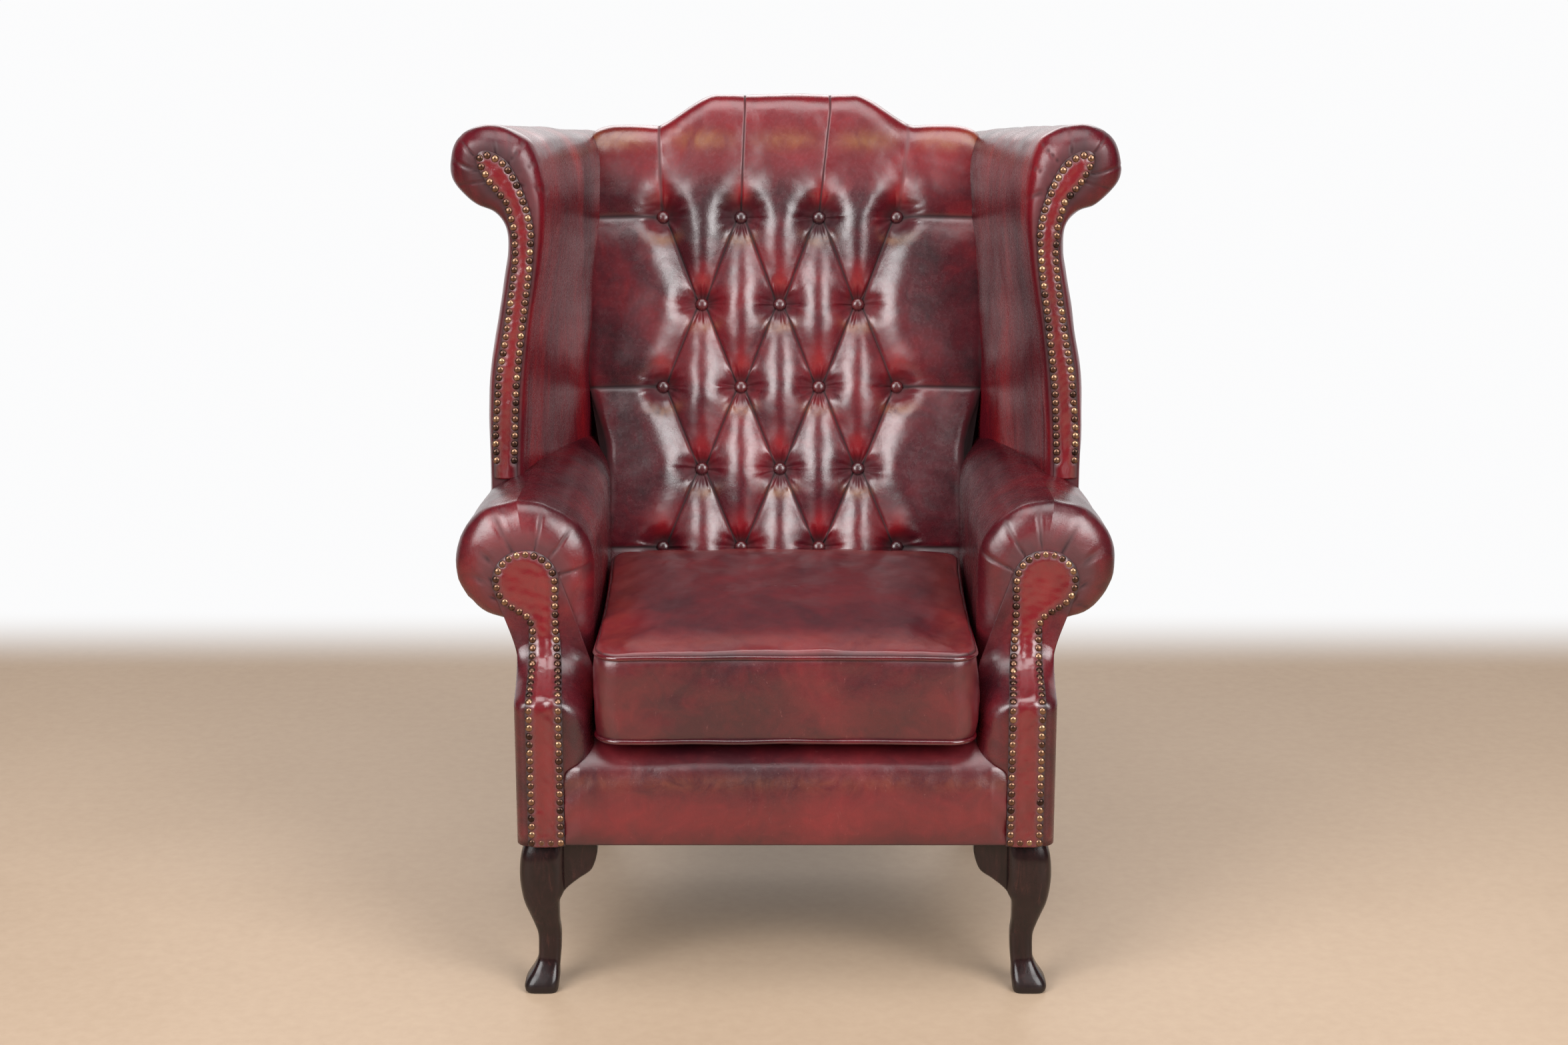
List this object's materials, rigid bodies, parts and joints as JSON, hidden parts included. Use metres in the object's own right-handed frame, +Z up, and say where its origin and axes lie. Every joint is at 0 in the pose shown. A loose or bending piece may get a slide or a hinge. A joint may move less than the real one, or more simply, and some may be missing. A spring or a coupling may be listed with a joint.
{
  "type": "chesterfield wing chair",
  "caption": "High-backed leather wing chair with rolled arms, a deep-buttoned back, flared wings with dome nails, a loose seat cushion and cabriole front legs.",
  "frame": {"origin": "on the floor, in the middle of the chair's box", "axes": "+Z up, the sitter faces -Y, and X runs across the chair from the left arm to the right one as seen from the front"},
  "size_m": [0.884, 0.7894, 1.109],
  "materials": {
    "leather": "glossy, rubbed off to a brighter red on the raised places",
    "leather_panel": "glossy oxblood, a little darker",
    "leather_button": "glossy oxblood",
    "nail_bronze": "antique bronze, polished on the dome",
    "leg_mahogany": "dark stained and lacquered",
    "frame_hardwood": "sawn, unfinished",
    "plywood": "unfinished",
    "foam": "matt open foam",
    "felt": "matt felt",
    "deck_cloth": "matt woven cloth",
    "black_cloth": "matt black non-woven cloth",
    "webbing": "matt jute webbing",
    "steel": "plain steel",
    "zip": "matt coil zip on its tape"
  },
  "bodies": {
    "chair": {"front_rail": "frame_hardwood", "back_rail": "frame_hardwood", "left_side_rail": "frame_hardwood", "right_side_rail": "frame_hardwood", "corner_blocks": "frame_hardwood", "left_arm_stump": "frame_hardwood", "right_arm_stump": "frame_hardwood", "left_arm_rail": "frame_hardwood", "right_arm_rail": "frame_hardwood", "left_back_post": "frame_hardwood", "right_back_post": "frame_hardwood", "crest_rail": "frame_hardwood", "lower_back_rail": "frame_hardwood", "left_wing_board": "plywood", "right_wing_board": "plywood", "seat_springs": "steel", "spring_clips": "steel", "seat_insulator": "felt", "deck_foam": "foam", "seat_deck": "deck_cloth", "dust_cover": "black_cloth", "left_arm_foam": "foam", "right_arm_foam": "foam", "left_arm_cover": "leather", "right_arm_cover": "leather", "left_arm_facing": "leather_panel", "right_arm_facing": "leather_panel", "left_arm_nails_outer": "nail_bronze", "right_arm_nails_outer": "nail_bronze", "left_arm_nails_inner": "nail_bronze", "right_arm_nails_inner": "nail_bronze", "left_outside_arm": "leather_panel", "right_outside_arm": "leather_panel", "left_wing_cover": "leather", "right_wing_cover": "leather", "left_wing_facing": "leather_panel", "right_wing_facing": "leather_panel", "left_wing_nails": "nail_bronze", "right_wing_nails": "nail_bronze", "tufted_back": "leather", "back_foam": "foam", "back_webbing": "webbing", "back_buttons": "leather_button", "outside_back": "leather_panel", "front_border": "leather", "left_front_leg": "leg_mahogany", "right_front_leg": "leg_mahogany", "left_rear_leg": "leg_mahogany", "right_rear_leg": "leg_mahogany", "leg_bolts": "steel"},
    "seat_cushion": {"cushion_cover": "leather", "cushion_foam": "foam", "cushion_welt": "leather_panel", "cushion_zip": "zip"}
  },
  "joints": [
    {"name": "cushion_lift", "type": "slide", "parent": "chair", "child": "seat_cushion", "axis": [0, 0, 1], "range_m": [0, 0.33]}
  ]
}
